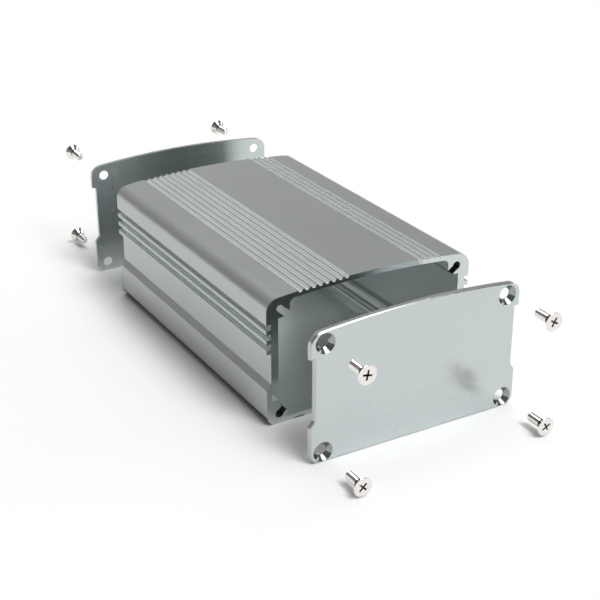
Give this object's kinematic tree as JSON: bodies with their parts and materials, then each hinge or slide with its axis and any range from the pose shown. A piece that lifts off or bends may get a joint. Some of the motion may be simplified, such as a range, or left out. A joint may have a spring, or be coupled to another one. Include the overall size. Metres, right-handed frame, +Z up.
{
  "type": "amplifier chassis",
  "caption": "Empty extruded aluminium amplifier chassis with a crowned, grooved roof and finned flanks, its end plates and countersunk screws taken off and set in line.",
  "frame": {"origin": "middle of the tube's underside, on the plane that the tube stands on", "axes": "+Z up, +Y along the tube from the front plate to the rear plate, +X across it to the right"},
  "size_m": [0.076, 0.2214, 0.0455],
  "materials": {
    "tube": "grey anodised",
    "plate": "grey anodised",
    "screw": "nickel plated"
  },
  "bodies": {
    "housing": {"housing": "tube"},
    "front_plate": {"front_plate": "plate"},
    "front_screw_top_left": {"front_screw_top_left": "screw"},
    "front_screw_top_right": {"front_screw_top_right": "screw"},
    "front_screw_bottom_left": {"front_screw_bottom_left": "screw"},
    "front_screw_bottom_right": {"front_screw_bottom_right": "screw"},
    "rear_plate": {"rear_plate": "plate"},
    "rear_screw_top_left": {"rear_screw_top_left": "screw"},
    "rear_screw_top_right": {"rear_screw_top_right": "screw"},
    "rear_screw_bottom_left": {"rear_screw_bottom_left": "screw"},
    "rear_screw_bottom_right": {"rear_screw_bottom_right": "screw"}
  },
  "joints": [
    {"name": "front_plate_slide", "type": "slide", "parent": "housing", "child": "front_plate", "axis": [0, 1, 0], "range_m": [0, 0.02475]},
    {"name": "front_screw_top_left_slide", "type": "slide", "parent": "front_plate", "child": "front_screw_top_left", "axis": [0, 1, 0], "range_m": [0, 0.02225]},
    {"name": "front_screw_top_right_slide", "type": "slide", "parent": "front_plate", "child": "front_screw_top_right", "axis": [0, 1, 0], "range_m": [0, 0.02225]},
    {"name": "front_screw_bottom_left_slide", "type": "slide", "parent": "front_plate", "child": "front_screw_bottom_left", "axis": [0, 1, 0], "range_m": [0, 0.02225]},
    {"name": "front_screw_bottom_right_slide", "type": "slide", "parent": "front_plate", "child": "front_screw_bottom_right", "axis": [0, 1, 0], "range_m": [0, 0.02225]},
    {"name": "rear_plate_slide", "type": "slide", "parent": "housing", "child": "rear_plate", "axis": [0, -1, 0], "range_m": [0, 0.02475]},
    {"name": "rear_screw_top_left_slide", "type": "slide", "parent": "rear_plate", "child": "rear_screw_top_left", "axis": [0, -1, 0], "range_m": [0, 0.03105]},
    {"name": "rear_screw_top_right_slide", "type": "slide", "parent": "rear_plate", "child": "rear_screw_top_right", "axis": [0, -1, 0], "range_m": [0, 0.03105]},
    {"name": "rear_screw_bottom_left_slide", "type": "slide", "parent": "rear_plate", "child": "rear_screw_bottom_left", "axis": [0, -1, 0], "range_m": [0, 0.03105]},
    {"name": "rear_screw_bottom_right_slide", "type": "slide", "parent": "rear_plate", "child": "rear_screw_bottom_right", "axis": [0, -1, 0], "range_m": [0, 0.03105]}
  ]
}
